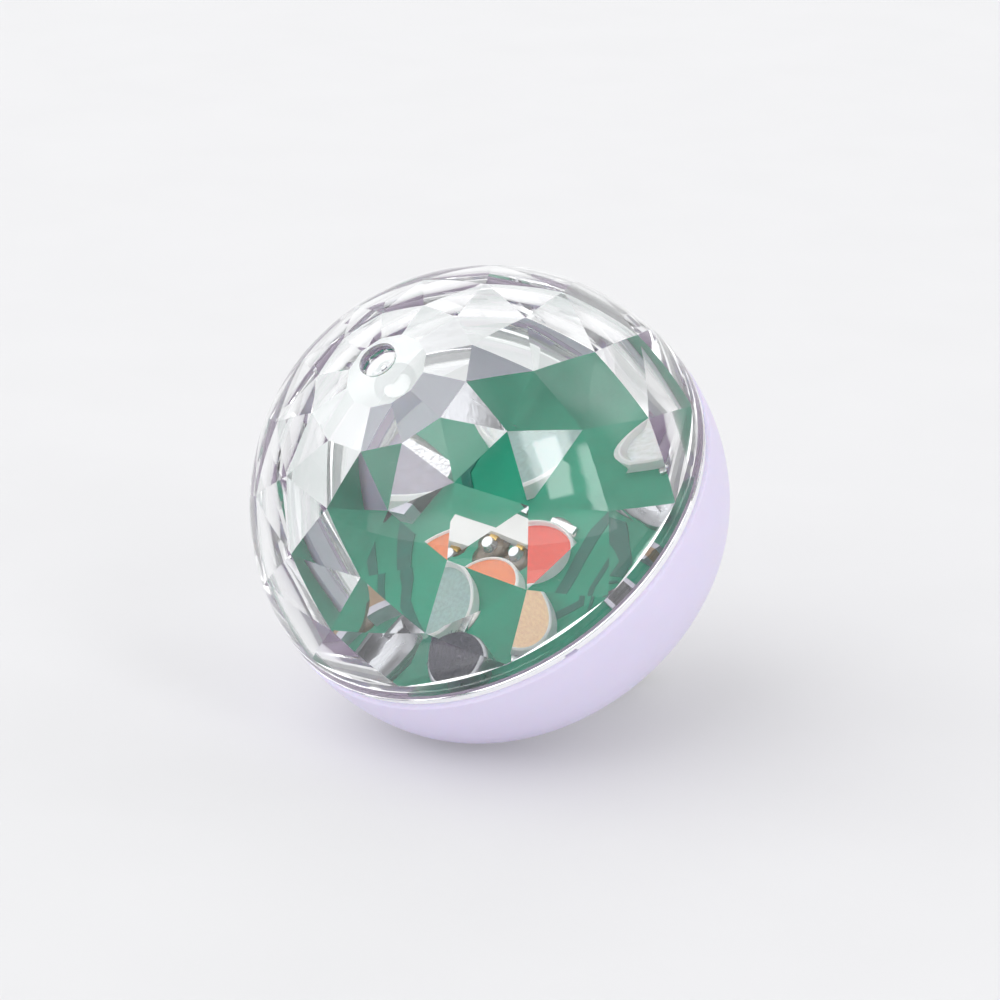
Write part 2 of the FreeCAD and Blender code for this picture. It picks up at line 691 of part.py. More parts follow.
def make_chips(kind, place_shares, turns):
    """Two-ended surface parts: a body between two metal end caps."""
    bodies = []
    caps = []
    for number, (shares, turn) in enumerate(zip(place_shares, turns)):
        place = on_board(shares, turn)
        bodies.append(block(f"{kind}{number}", f"{kind}_length - 2 * {kind}_cap", f"{kind}_width",
                            f"{kind}_height", place))
        for side in ("", "-"):
            caps.append(block(f"{kind}{number}Cap{len(caps)}", f"{kind}_cap", f"{kind}_width", f"{kind}_height",
                              f"{place} * {spot(f'{side}({kind}_length - {kind}_cap) / 2', '0', '0')}"))
    node(grouped(f"{kind}Bodies", bodies), f"{kind}_bodies")
    node(grouped(f"{kind}Caps", caps), f"{kind}_caps")


def make_transistors():
    bodies = []
    legs = []
    for number, (shares, turn) in enumerate(zip(TRANSISTOR_PLACE_SHARES, TRANSISTOR_TURNS)):
        place = on_board(shares, turn)
        bodies.append(block(f"Transistor{number}", "transistor_length", "transistor_width",
                            "transistor_height", place))
        leg_places = (("transistor_leg_spacing / 2", "-"), ("-transistor_leg_spacing / 2", "-"), ("0", ""))
        for along, side in leg_places:
            out = f"{side}(transistor_width + transistor_leg_reach) / 2"
            legs.append(block(f"TransistorLeg{len(legs)}", "transistor_leg_width", "transistor_leg_reach",
                              "transistor_leg_thickness", f"{place} * {spot(along, out, '0')}"))
    node(grouped("TransistorBodies", bodies), "transistor_bodies")
    node(grouped("TransistorLegs", legs), "transistor_legs")


lay_down()
make_base_shell()
make_dome()
make_board()
make_leds()
make_microphone()
make_plug()
make_controller()
make_chips("resistor", RESISTOR_PLACE_SHARES, RESISTOR_TURNS)
make_chips("capacitor", CAPACITOR_PLACE_SHARES, CAPACITOR_TURNS)
make_transistors()
doc.recompute()

# Every object is sound, and every sub-part a valid shape, before anything is written
failed = [item.Name for item in doc.Objects if "Invalid" in item.State or "Error" in item.State]
failed += [item.Label for item in nodes if item.Shape.isNull() or not item.Shape.isValid()]
if failed:
    raise RuntimeError(f"not sound: {failed}")

box = FreeCAD.BoundBox()
for item in nodes:
    box.add(item.Shape.BoundBox)
    item.Shape.exportStep(f"parts/{item.Label}.step")
    print(item.Label, "solids", len(item.Shape.Solids), "volume", round(item.Shape.Volume, 2))
print("nodes", len(nodes), "box", box)
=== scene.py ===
# %% [markdown]
# # A mini disco light
# The lamp is a ball that lies on a table: a clear dome with moulded facets inside, a lavender
# bowl, and between them a green board with coloured light emitters. The CAD model gives every
# solid its place, so this lesson adds finishes, fine detail, light and a camera around it.

# %% Load the frame
import json
import math
import random

import bmesh
import bpy
from mathutils import Matrix, Vector


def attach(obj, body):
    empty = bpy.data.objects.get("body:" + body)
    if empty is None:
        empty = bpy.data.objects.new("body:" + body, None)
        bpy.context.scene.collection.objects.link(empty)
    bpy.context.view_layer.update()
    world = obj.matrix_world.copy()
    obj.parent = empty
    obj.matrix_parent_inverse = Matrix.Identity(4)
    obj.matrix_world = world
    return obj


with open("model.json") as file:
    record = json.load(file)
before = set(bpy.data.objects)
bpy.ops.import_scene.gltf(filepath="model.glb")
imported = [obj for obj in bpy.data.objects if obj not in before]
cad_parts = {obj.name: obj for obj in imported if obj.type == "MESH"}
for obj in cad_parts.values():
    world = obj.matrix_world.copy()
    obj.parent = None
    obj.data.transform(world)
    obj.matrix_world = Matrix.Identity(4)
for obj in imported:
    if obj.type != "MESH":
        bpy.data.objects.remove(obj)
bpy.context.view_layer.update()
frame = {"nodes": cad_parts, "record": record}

nodes = frame["nodes"]
print("CAD nodes:", len(nodes))

# %% [markdown]
# The ball's axis leans over, because the lamp rests on its shoulder and on the plug's tip. The
# record states where that tip is and which way it points, and this gives the lamp's own frame:
# its origin is the ball's centre, and its z runs from there to the top of the dome. Patterns
# and small pieces are easier to place in that frame, in millimetres.

# %% The lamp's own frame
MM = 0.001
PLUG_TIP_DEPTH = 28.5
BOARD_TOP = -3.2

plug = next(mount for mount in frame["record"]["mounts"] if mount["name"] == "usb_plug")
plug_way = Vector(plug["axis"])
ball_centre = Vector(plug["pos_m"]) - plug_way * PLUG_TIP_DEPTH * MM
lamp_tilt = math.atan2(plug_way.y, -plug_way.z)
lamp_frame = Matrix.Translation(ball_centre) @ Matrix.Rotation(lamp_tilt, 4, "X") @ Matrix.Scale(MM, 4)
print("ball centre", ball_centre, "tilt", round(math.degrees(lamp_tilt), 2))

# %% [markdown]
# Colours are written as a screen shows them, from 0 to 255, and turned into the linear light
# that Blender works in. Each finish is one Principled shader. One helper adds the nodes that
# vary it. Another gives a pattern the lamp's own millimetres: a Mapping node set to Texture
# takes the object's coordinates back through the lamp's lean.

# %% Helpers for finishes
def screen_colour(red, green, blue):
    """A colour from 0 to 255, as a screen shows it, in linear light."""
    linear = [((v / 255 + 0.055) / 1.055) ** 2.4 if v > 10 else v / 255 / 12.92 for v in (red, green, blue)]
    return (*linear, 1.0)


def finish(name, colour, roughness, **values):
    """One Principled shader: further values go to the socket of their name, with _ for a space."""
    material = bpy.data.materials.new(name)
    material.use_nodes = True
    shader = material.node_tree.nodes["Principled BSDF"]
    shader.inputs["Base Color"].default_value = colour
    shader.inputs["Roughness"].default_value = roughness
    for socket, value in values.items():
        shader.inputs[socket.replace("_", " ")].default_value = value
    return material


def add(tree, kind, inputs, **settings):
    """A node in a tree, with its settings, and its inputs set or linked."""
    node = tree.nodes.new(kind)
    for setting, value in settings.items():
        setattr(node, setting, value)
    for socket, value in inputs.items():
        if isinstance(value, bpy.types.NodeSocket):
            tree.links.new(value, node.inputs[socket])
        else:
            node.inputs[socket].default_value = value
    return node


def maths(tree, operation, *values):
    """One sum over numbers or other nodes' outputs."""
    return add(tree, "ShaderNodeMath", dict(enumerate(values)), operation=operation).outputs["Value"]


def between(tree, value, start, end, at_start=0.0, at_end=1.0, blend="LINEAR"):
    """How far a value is on its way from a start to an end, as a number from at_start to at_end."""
    return add(tree, "ShaderNodeMapRange", {
        "Value": value, "From Min": start, "From Max": end, "To Min": at_start, "To Max": at_end,
    }, interpolation_type=blend).outputs["Result"]


def feed(material, socket, output):
    """Link an output to a socket of a finish's shader."""
    shader = material.node_tree.nodes["Principled BSDF"]
    material.node_tree.links.new(output, shader.inputs[socket])


def lamp_point(material):
    """Object coordinates as millimetres in the lamp's frame."""
    where = add(material.node_tree, "ShaderNodeTexCoord", {}).outputs["Object"]
    return add(material.node_tree, "ShaderNodeMapping", {
        "Vector": where, "Location": ball_centre, "Rotation": (lamp_tilt, 0, 0), "Scale": (MM, MM, MM),
    }, vector_type="TEXTURE").outputs["Vector"]


def ramp(material, factor, stops):
    """Colours or greys along a factor: stops are (place, colour)."""
    node = add(material.node_tree, "ShaderNodeValToRGB", {"Fac": factor})
    elements = node.color_ramp.elements
    while len(elements) < len(stops):
        elements.new(0.5)
    for element, (place, colour) in zip(elements, stops):
        element.position = place
        element.color = colour if not isinstance(colour, float) else (colour, colour, colour, 1.0)
    return node.outputs["Color"]


def grain(material, point, scale, detail=2.0):
    """Soft noise around one half."""
    noise = add(material.node_tree, "ShaderNodeTexNoise", {"Vector": point, "Scale": scale, "Detail": detail})
    return noise.outputs["Fac"]


def relief(material, height, distance, strength=1.0):
    """Raise the surface by a height pattern; the distance is in metres."""
    bump = add(material.node_tree, "ShaderNodeBump", {
        "Height": height, "Distance": distance, "Strength": strength})
    feed(material, "Normal", bump.outputs["Normal"])


def tones(colour, spread):
    """A darker and a lighter tone of one colour."""
    return [(*[min(c * (1 + sign * spread), 1.0) for c in colour[:3]], 1.0) for sign in (-1, 1)]


def wander(material, socket, noise, low, high, width=0.4):
    """Let a socket go from low to high with noise, over a width around its middle."""
    feed(material, socket, ramp(material, noise, [(0.5 - width / 2, low), (0.5 + width / 2, high)]))


GLOSS_WANDER = 0.06
BUMP_FINER = 6


def mottled(name, colour, roughness, spread=0.08, scale=0.8, bump=0.00001, **values):
    """A finish whose colour and gloss wander a little, as on any moulded or rolled surface."""
    material = finish(name, colour, roughness, **values)
    point = lamp_point(material)
    noise = grain(material, point, scale, 4.0)
    wander(material, "Base Color", noise, *tones(colour, spread))
    wander(material, "Roughness", noise, max(roughness - GLOSS_WANDER, 0.0), roughness + GLOSS_WANDER)
    relief(material, grain(material, point, scale * BUMP_FINER), bump)
    return material


def dress(material, *names):
    """Give CAD nodes their finish in every slot."""
    for name in names:
        for slot in nodes[name].material_slots:
            slot.material = material


# %% [markdown]
# The bowl is moulded in an opaque lavender plastic with a soft gloss. A little light goes into
# it and comes out again nearby, which a small subsurface weight gives. Its grain is so fine
# that it only softens the highlight.

# %% Lavender bowl
LAVENDER = screen_colour(223, 216, 240)
lavender = mottled("lavender_plastic", LAVENDER, 0.38, spread=0.012, scale=0.25, bump=0.000004,
                   Subsurface_Weight=0.15, Subsurface_Scale=0.002, IOR=1.5)
dress(lavender, "base_shell")
print("bowl:", lavender.name)

# %% [markdown]
# The dome is clear polystyrene. What makes it sparkle is its shape: the outside is a smooth
# ball, and every facet inside bends the view of the board another way. So the finish is a
# clean refracting shader with the plastic's own index. A fine scuff breaks up the reflections
# here and there, as on any plastic that has been in a box with others. The skirt inside the
# bowl is matt and pale, so the facets that look down on it stay light. A band round the rim's
# edge, on its outside alone, is made matt and white. It is a painted highlight that stands in
# for the bright line where the dome meets the bowl, and the board shows right up to it.

# %% Clear dome
CLEAR = screen_colour(253, 254, 254)
SKIRT_PALE = screen_colour(250, 237, 255)
MATT_ROUGHNESS = 0.4
RIM_HIGHLIGHT_CLEARNESS, SKIRT_CLEARNESS = 0.1, 0.05
SCUFF_SPACING, SCUFF_WIDTH = 0.9, 0.006
JOINT_HEIGHT = 0.45
# Where the painted highlight band at the rim fades out and where it is full, in mm from the joint.
RIM_HIGHLIGHT_END, RIM_HIGHLIGHT_FULL = 0.58, 0.48
EDGE_INSIDE, EDGE_OUTSIDE = 23.0, 23.4
SKIRT_TOP, SKIRT_FULL = 0.0, -0.1

clear = finish("clear_polystyrene", CLEAR, 0.0, Transmission_Weight=1.0, IOR=1.58)
dome = clear.node_tree
dome_point = lamp_point(clear)
cells = add(dome, "ShaderNodeTexVoronoi", {"Vector": dome_point, "Scale": SCUFF_SPACING, "Randomness": 1.0},
            feature="DISTANCE_TO_EDGE").outputs["Distance"]
scuff_lines = ramp(clear, cells, [(0.0, 1.0), (SCUFF_WIDTH, 0.0)])
scuff_patches = ramp(clear, grain(clear, dome_point, 0.35, 3.0), [(0.62, 0.0), (0.72, 1.0)])
scuffed = maths(dome, "MULTIPLY", scuff_lines, scuff_patches)

height = add(dome, "ShaderNodeSeparateXYZ", {"Vector": dome_point}).outputs["Z"]
from_centre = add(dome, "ShaderNodeVectorMath", {0: dome_point}, operation="LENGTH").outputs["Value"]
from_joint = maths(dome, "ABSOLUTE", maths(dome, "SUBTRACT", height, JOINT_HEIGHT))
# Painted highlight: a matt white band round the rim's edge, outside only, that stands in for the bright line at
# the joint with the bowl.
rim_highlight_band = maths(dome, "MULTIPLY", between(dome, from_joint, RIM_HIGHLIGHT_END, RIM_HIGHLIGHT_FULL),
                between(dome, from_centre, EDGE_INSIDE, EDGE_OUTSIDE))
skirt = between(dome, height, SKIRT_TOP, SKIRT_FULL)
uneven = maths(dome, "MAXIMUM", scuffed, maths(dome, "MAXIMUM", skirt, rim_highlight_band))

feed(clear, "Roughness", ramp(clear, uneven, [(0.0, 0.0), (1.0, MATT_ROUGHNESS)]))
# The painted highlight band at the rim lets little light through, so it shows as a white line. The skirt also
# lets little light through.
feed(clear, "Transmission Weight", maths(
    dome, "MULTIPLY", ramp(clear, rim_highlight_band, [(0.0, 1.0), (1.0, RIM_HIGHLIGHT_CLEARNESS)]),
    ramp(clear, skirt, [(0.0, 1.0), (1.0, SKIRT_CLEARNESS)])))
feed(clear, "Base Color", ramp(clear, skirt, [(0.0, CLEAR), (1.0, SKIRT_PALE)]))
relief(clear, grain(clear, dome_point, 0.12, 1.0), 0.00002, 0.3)
dress(clear, "dome")
print("dome:", clear.name)

# %% [markdown]
# The board is glass fibre and resin under green solder mask. The mask is thin and has a soft
# gloss. Its green wanders a little, and the threads of the weave below it, which run both
# ways, raise it by a few thousandths of a millimetre.

# %% Board
GREEN = screen_colour(4, 152, 118)
mask_green = finish("solder_mask_green", GREEN, 0.4, Specular_IOR_Level=0.25)
board = mask_green.node_tree
board_point = lamp_point(mask_green)
threads = [add(board, "ShaderNodeTexWave", {"Vector": board_point, "Scale": 1.1, "Distortion": 0.6},
               bands_direction=way).outputs["Fac"] for way in ("X", "Y")]
weave = maths(board, "MULTIPLY", *threads)
patchy = maths(board, "MULTIPLY_ADD", grain(mask_green, board_point, 0.22, 3.0), weave)
wander(mask_green, "Base Color", grain(mask_green, board_point, 0.3, 3.0), *tones(GREEN, 0.1), width=0.3)
relief(mask_green, patchy, 0.000004)
dress(mask_green, "main_board")
print("board:", mask_green.name)

# %% [markdown]
# The emitters are round white cups with thin rims. The resin in them colours the light: orange,
# red-orange, peach, clear, milky white or a smoky grey. Phosphor grains make it faintly
# speckled, and it has a thin gloss. Some cups are filled almost to the rim, and others only to
# half their depth.

# %% Emitters
EMITTERS = range(1, 10)
RESINS = {
    "orange": ((238, 116, 12), (1, 2)),
    "red": ((240, 58, 4), (3,)),
    "peach": ((255, 208, 164), (4,)),
    "clear": ((176, 210, 204), (5, 6)),
    "milky": ((250, 250, 246), (7, 8)),
    "smoky": ((160, 154, 170), (9,)),
}
CLEAR_RESIN_TRANSMISSION = 0.3

white_resin = mottled("white_resin", screen_colour(246, 246, 244), 0.4, spread=0.015,
                      Subsurface_Weight=0.1, Subsurface_Scale=0.0006)
for word, (tint, numbers) in RESINS.items():
    colour = screen_colour(*tint)
    resin = finish(f"{word}_resin", colour, 0.3, Coat_Weight=0.35, Coat_Roughness=0.08,
                   Subsurface_Weight=0.2, Subsurface_Scale=0.0004,
                   Transmission_Weight=CLEAR_RESIN_TRANSMISSION if word == "clear" else 0.0)
    resin_point = lamp_point(resin)
    wander(resin, "Base Color", grain(resin, resin_point, 5.0, 5.0), *tones(colour, 0.1), width=0.3)
    relief(resin, grain(resin, resin_point, 1.2), 0.00004)
    dress(resin, *[f"led_{number}_lens" for number in numbers])
dress(white_resin, *[f"led_{number}_body" for number in EMITTERS])
dress(mottled("die_crystal", screen_colour(70, 84, 120), 0.25, Coat_Weight=0.5), "led_dies")
print("emitters:", ", ".join(RESINS))

# %% [markdown]
# Metals differ by how they are made. Tin on leads is soft and uneven, and on end caps it is
# duller. The microphone's can is drawn aluminium. The plug is folded steel with bright nickel,
# rubbed lengthwise by the sockets it has been in.

# %% Metals
tin = mottled("tinned_metal", screen_colour(206, 206, 208), 0.28, spread=0.12, scale=2.0, bump=0.00002,
              Metallic=1.0)
dress(tin, "led_leads", "controller_legs", "transistor_legs", "microphone_pins", "solder_joints")
end_caps = mottled("end_cap_tin", screen_colour(198, 196, 206), 0.5, spread=0.1, scale=2.0, bump=0.00002,
                   Metallic=0.8)
dress(end_caps, "resistor_caps", "capacitor_caps")
for name, colour, roughness, scale, node in (
        ("drawn_aluminium", (196, 197, 202), 0.32, 1.5, "microphone_can"),
        ("screw_zinc", (178, 178, 182), 0.3, 2.0, "board_screws"),
        ("contact_gold", (218, 180, 98), 0.25, 1.5, "usb_contacts")):
    dress(mottled(name, screen_colour(*colour), roughness, scale=scale, Metallic=1.0), node)

RUB_STRETCH = (6.0, 6.0, 0.15)
nickel = finish("plug_nickel", screen_colour(196, 196, 200), 0.25, Metallic=1.0)
rubbed = add(nickel.node_tree, "ShaderNodeMapping", {
    "Vector": lamp_point(nickel), "Scale": RUB_STRETCH}).outputs["Vector"]
rub_marks = grain(nickel, rubbed, 1.0, 4.0)
wander(nickel, "Roughness", rub_marks, 0.16, 0.4)
relief(nickel, rub_marks, 0.000006)
dress(nickel, "usb_shell")
print("plug:", nickel.name)

# %% [markdown]
# The rest are plain small parts: black epoxy, dark felt, tan ceramic and white insulating
# plastic. The felt is almost black with a blue cast, and takes light like cloth, so it has
# sheen. The resistors have a glazed black film.

# %% Small parts
dress(mottled("black_epoxy", screen_colour(44, 44, 48), 0.5, scale=3.0),
      "controller_chip", "transistor_bodies", "microphone_core")
dress(mottled("resistor_film", screen_colour(36, 37, 44), 0.22, scale=2.0, Coat_Weight=0.4), "resistor_bodies")
dress(mottled("felt_black", screen_colour(66, 66, 84), 0.95, spread=0.25, scale=6.0, bump=0.00006,
              Sheen_Weight=0.6, Sheen_Roughness=0.4), "microphone_felt")
dress(mottled("tan_ceramic", screen_colour(176, 142, 104), 0.45, scale=3.0), "capacitor_bodies")
dress(mottled("insulating_white", screen_colour(244, 243, 240), 0.42, spread=0.02, scale=1.5), "usb_carrier")
dress(mottled("tongue_white", screen_colour(238, 238, 240), 0.45, spread=0.02, scale=1.5), "usb_tongue")
print("small parts are dressed")

# %% [markdown]
# The board's copper tracks show as dark lines, because the mask over them is raised and the
# copper below is duller than the bare board. Each one is a flat ribbon, about three hundredths
# of a millimetre thick, that follows a line of points across the board.

# %% Tracks
def piece_of(name, shape, material):
    """A finished piece from a bmesh drawn in the lamp's millimetres."""
    bmesh.ops.transform(shape, matrix=lamp_frame, verts=shape.verts)
    bmesh.ops.recalc_face_normals(shape, faces=shape.faces)
    mesh = bpy.data.meshes.new(name)
    shape.to_mesh(mesh)
    shape.free()
    mesh.materials.append(material)
    piece = bpy.data.objects.new(name, mesh)
    bpy.context.collection.objects.link(piece)
    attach(piece, "root")
    print(name, len(mesh.polygons), "faces")


SHARPEST_MITRE = 0.5


def ribbon(shape, points, width, low, high):
    """A flat strip along a line of points, mitred at its corners."""
    line = [Vector(point) for point in points]
    rows = []
    for index, point in enumerate(line):
        before = (point - line[index - 1]).normalized() if index else None
        after = (line[index + 1] - point).normalized() if index < len(line) - 1 else None
        way = ((before or after) + (after or before)).normalized()
        across = Vector((-way.y, way.x)) * (width / 2 / max(way.dot(after or before), SHARPEST_MITRE))
        section = ((1, low), (1, high), (-1, high), (-1, low))
        rows.append([shape.verts.new((*(point + across * side), z)) for side, z in section])
    for first, second in zip(rows, rows[1:]):
        for a in range(4):
            shape.faces.new((first[a], first[(a + 1) % 4], second[(a + 1) % 4], second[a]))
    shape.faces.new(rows[0])
    shape.faces.new(list(reversed(rows[-1])))


TRACK_THICKNESS = 0.035
TRACKS = (
    (0.8, ((10.9, 4.2), (11.2, 1.8), (11.2, 0.5), (11.3, -1.0), (11.5, -2.6), (11.6, -4.2), (11.2, -5.6))),
    (0.4, ((12.6, 2.6), (13.3, 0.4), (13.4, -1.5), (13.5, -2.9), (14.3, -4.8), (14.9, -6.5), (14.3, -7.3),
           (13.4, -8.4))),
    (0.5, ((15.8, 3.6), (16.4, 2.1), (17.2, 0.6), (17.4, -0.8))),
    (0.25, ((17.6, -1.2), (16.4, -2.2), (15.0, -3.4), (15.4, -5.0), (15.7, -6.6), (15.6, -8.2))),
    (0.35, ((-12.6, -5.2), (-10.0, -7.4), (-9.4, -7.9), (-6.9, -10.0), (-6.4, -10.3), (-5.6, -11.0),
            (-4.3, -11.7), (-1.6, -13.0))),
    (0.2, ((-12.9, -6.0), (-10.3, -8.1), (-7.2, -10.7), (-5.9, -11.7), (-3.9, -12.8))),
    (0.35, ((-4.3, 3.0), (-6.2, 5.0), (-6.3, 6.4))),
    (0.3, ((-15.9, -1.0), (-17.9, 0.6), (-18.2, 4.6), (-17.0, 7.6))),
    (0.3, ((4.2, 14.9), (0.6, 16.8), (-3.1, 17.4))),
)
tracks = bmesh.new()
for width, points in TRACKS:
    ribbon(tracks, points, width, BOARD_TOP, BOARD_TOP + TRACK_THICKNESS)
track_green = mottled("track_green", screen_colour(12, 108, 92), 0.4, spread=0.1, Specular_IOR_Level=0.25)
piece_of("board_tracks", tracks, track_green)

# %% [markdown]
# Soldering by hand leaves flux behind: a glassy brown film round each joint. The brown is
# also painted shade: the patches darken the board at the foot of the parts beside these joints,
# where their shadow falls. Each patch is a low irregular drop, highest over the joint and thin at
# its edge. A fixed seed keeps the outlines the same each time.

# %% Flux residue and painted shade
FLUX_SEED = 7
FLUX_HEIGHT = 0.12
FLUX_STEPS = 24
FLUX_LOBES, FLUX_LOBE_DEPTH, FLUX_CHANCE = 3, 0.22, 0.08
FLUX_INNER_REACH, FLUX_INNER_HEIGHT = 0.6, 0.75
# Places and sizes of the brown patches: flux round joints, and painted shade at the foot of the parts.
FLUX_AND_SHADE_PLACES = ((-2.85, -3.0, 0.8), (-0.95, -3.05, 0.85), (0.95, -3.0, 0.95), (2.85, -3.0, 0.9),
               (-7.6, -16.6, 0.7), (5.2, -12.7, 0.5), (18.4, 1.9, 0.9))
chance = random.Random(FLUX_SEED)
flux = bmesh.new()
for x, y, radius in FLUX_AND_SHADE_PLACES:
    middle = flux.verts.new((x, y, BOARD_TOP + FLUX_HEIGHT))
    inner_ring, outer_ring = [], []
    for step in range(FLUX_STEPS):
        turn = step * math.tau / FLUX_STEPS
        reach = radius * (1 + FLUX_LOBE_DEPTH * math.sin(turn * FLUX_LOBES + x)
                          + chance.uniform(-FLUX_CHANCE, FLUX_CHANCE))
        way = Vector((math.cos(turn), math.sin(turn)))
        inner_ring.append(flux.verts.new((
            x + way.x * reach * FLUX_INNER_REACH, y + way.y * reach * FLUX_INNER_REACH,
            BOARD_TOP + FLUX_HEIGHT * FLUX_INNER_HEIGHT)))
        outer_ring.append(flux.verts.new((x + way.x * reach, y + way.y * reach, BOARD_TOP)))
    for step in range(FLUX_STEPS):
        after = (step + 1) % FLUX_STEPS
        flux.faces.new((middle, inner_ring[step], inner_ring[after]))
        flux.faces.new((inner_ring[step], outer_ring[step], outer_ring[after], inner_ring[after]))
    flux.faces.new(list(reversed(outer_ring)))
for face in flux.faces:
    face.smooth = True
# Painted shade: this brown is flux, and it also darkens the board at the foot of the parts where their shadow
# falls.
flux_and_shade_brown = mottled("flux_and_shade_brown", screen_colour(104, 84, 52), 0.12, spread=0.35, scale=2.5, Coat_Weight=0.5)
piece_of("flux_and_painted_shade", flux, flux_and_shade_brown)

# %% [markdown]
# What repeats is made with Geometry Nodes: a small shape is built once in the node tree, and
# placed on every point of a list. The points carry a turn and a size. The tree ends by making
# the copies real and giving them their finish. The result is then kept as a plain mesh, so
# that nothing has to be worked out again when the scene is opened.

# %% Stamping a shape on many places
def stamped(name, places, build, sizes, material):
    """A piece of many copies: places are (x, y, z, turn, growth), and build adds the shape to the tree."""
    points = bpy.data.meshes.new(name + "_points")
    points.from_pydata([place[:3] for place in places], [], [])
    for key, column in (("turn", 3), ("growth", 4)):
        values = points.attributes.new(key, "FLOAT", "POINT")
        values.data.foreach_set("value", [place[column] for place in places])
    piece = bpy.data.objects.new(name, points)
    bpy.context.collection.objects.link(piece)
    tree = bpy.data.node_groups.new(name, "GeometryNodeTree")
    tree.interface.new_socket("Geometry", in_out="INPUT", socket_type="NodeSocketGeometry")
    for word in sizes:
        tree.interface.new_socket(word, in_out="INPUT", socket_type="NodeSocketFloat")
    tree.interface.new_socket("Geometry", in_out="OUTPUT", socket_type="NodeSocketGeometry")
    given = tree.nodes.new("NodeGroupInput").outputs
    stamp = build(tree, given)
    turn, growth = [add(tree, "GeometryNodeInputNamedAttribute", {"Name": key}, data_type="FLOAT")
                    .outputs["Attribute"] for key in ("turn", "growth")]
    spin = add(tree, "ShaderNodeCombineXYZ", {"Z": turn}).outputs["Vector"]
    copies = add(tree, "GeometryNodeInstanceOnPoints", {
        "Points": given["Geometry"], "Instance": stamp, "Rotation": spin, "Scale": growth}).outputs["Instances"]
    real = add(tree, "GeometryNodeRealizeInstances", {"Geometry": copies}).outputs["Geometry"]
    done = add(tree, "GeometryNodeSetMaterial", {"Geometry": real, "Material": material}).outputs["Geometry"]
    tree.links.new(done, tree.nodes.new("NodeGroupOutput").inputs["Geometry"])
    modifier = piece.modifiers.new(name, "NODES")
    modifier.node_group = tree
    for item in tree.interface.items_tree:
        if item.in_out == "INPUT" and item.name in sizes:
            modifier[item.identifier] = sizes[item.name]
    bpy.context.view_layer.update()
    kept = bpy.data.meshes.new_from_object(piece.evaluated_get(bpy.context.evaluated_depsgraph_get()))
    piece.modifiers.clear()
    kept.transform(lamp_frame)
    piece.data = kept
    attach(piece, "root")
    print(name, len(places), "copies,", len(kept.polygons), "faces")


def disc_line(tree, resolution, radius):
    """A circle to sweep along or round."""
    return add(tree, "GeometryNodeCurvePrimitiveCircle", {
        "Resolution": resolution, "Radius": radius}).outputs["Curve"]


def swept(tree, line, section):
    """A section drawn along a line."""
    return add(tree, "GeometryNodeCurveToMesh", {"Curve": line, "Profile Curve": section}).outputs["Mesh"]


def smooth_at(tree, shape, size):
    """A shape scaled to a size and shaded smooth."""
    scaled = add(tree, "GeometryNodeTransform", {"Geometry": shape, "Scale": size}).outputs["Geometry"]
    return add(tree, "GeometryNodeSetShadeSmooth", {"Geometry": scaled}).outputs["Geometry"]


# %% [markdown]
# Each lead stands in a small pool of solder that has wetted the pad. The pool is a flattened
# ball, sunk by half into the board's surface, and the leads' own places in the CAD node say
# where they are and how they are turned. Through-plated holes lie between the parts, and each
# shows as a low tinned ring.

# %% Solder pools and plated holes
JOINED, LEVEL = 0.001, 0.01
RING_FLATNESS = 0.35
HOLES = ((-6.4, 1.0), (-7.6, -8.9), (-3.4, -9.6), (14.8, -13.4), (-10.8, 5.6), (-2.6, 13.4), (-15.2, -9.2),
         (-18.6, -4.0), (-5.0, 18.8), (-13.0, 15.6), (-8.4, -12.6))


def islands(name):
    """The middle of each loose solid of a CAD node, and its longest level side's turn, in the lamp's frame."""
    shape = bmesh.new()
    shape.from_mesh(nodes[name].data)
    bmesh.ops.transform(shape, matrix=lamp_frame.inverted(), verts=shape.verts)
    bmesh.ops.remove_doubles(shape, verts=shape.verts, dist=JOINED)
    seen, found = set(), []
    for start in shape.verts:
        if start in seen:
            continue
        seen.add(start)
        group, sides = [start], []
        for vert in group:
            for edge in vert.link_edges:
                other = edge.other_vert(vert)
                sides.append(edge.verts[1].co - edge.verts[0].co)
                if other not in seen:
                    seen.add(other)
                    group.append(other)
        middle = sum((vert.co for vert in group), Vector()) / len(group)
        longest = max((side for side in sides if abs(side.z) < LEVEL), key=lambda side: side.length)
        found.append((middle, math.atan2(longest.y, longest.x)))
    shape.free()
    return found


def pool(tree, given):
    ball = add(tree, "GeometryNodeMeshUVSphere", {"Segments": 20, "Rings": 10, "Radius": 1.0}).outputs["Mesh"]
    size = add(tree, "ShaderNodeCombineXYZ", {
        "X": given["Length"], "Y": given["Width"], "Z": given["Height"]}).outputs["Vector"]
    return smooth_at(tree, ball, size)


def ring(tree, given):
    hoop = swept(tree, disc_line(tree, 24, given["Ring radius"]), disc_line(tree, 8, given["Wire radius"]))
    return smooth_at(tree, hoop, (1.0, 1.0, RING_FLATNESS))


solder = mottled("solder_pool", screen_colour(186, 184, 180), 0.34, spread=0.2, scale=3.0, bump=0.00002,
                 Metallic=1.0)
pool_places = [(middle.x, middle.y, BOARD_TOP, turn, 1.0) for middle, turn in islands("led_leads")]
stamped("lead_solder", pool_places, pool, {"Length": 0.95, "Width": 0.45, "Height": 0.16}, solder)
hole_places = [(x, y, BOARD_TOP, 0.0, 1.0) for x, y in HOLES]
stamped("plated_holes", hole_places, ring, {"Ring radius": 0.34, "Wire radius": 0.14}, solder)

# %% [markdown]
# The microphone's felt is a mat of short fibres. A few hundred curved hairs lie on it, each
# turned and sized by chance, and they break up its edge as real felt does.

# %% Felt fibres
MIC_CENTRE = (7.5, -15.94)
FELT_TOP = -0.2
FELT_RADIUS = 2.6
HAIR_SEED = 11
HAIR_COUNT = 420
HAIR_REACH, HAIR_BOW, HAIR_LIFT = 0.35, 0.16, 0.05
HAIR_GROWTH = (0.6, 1.2)


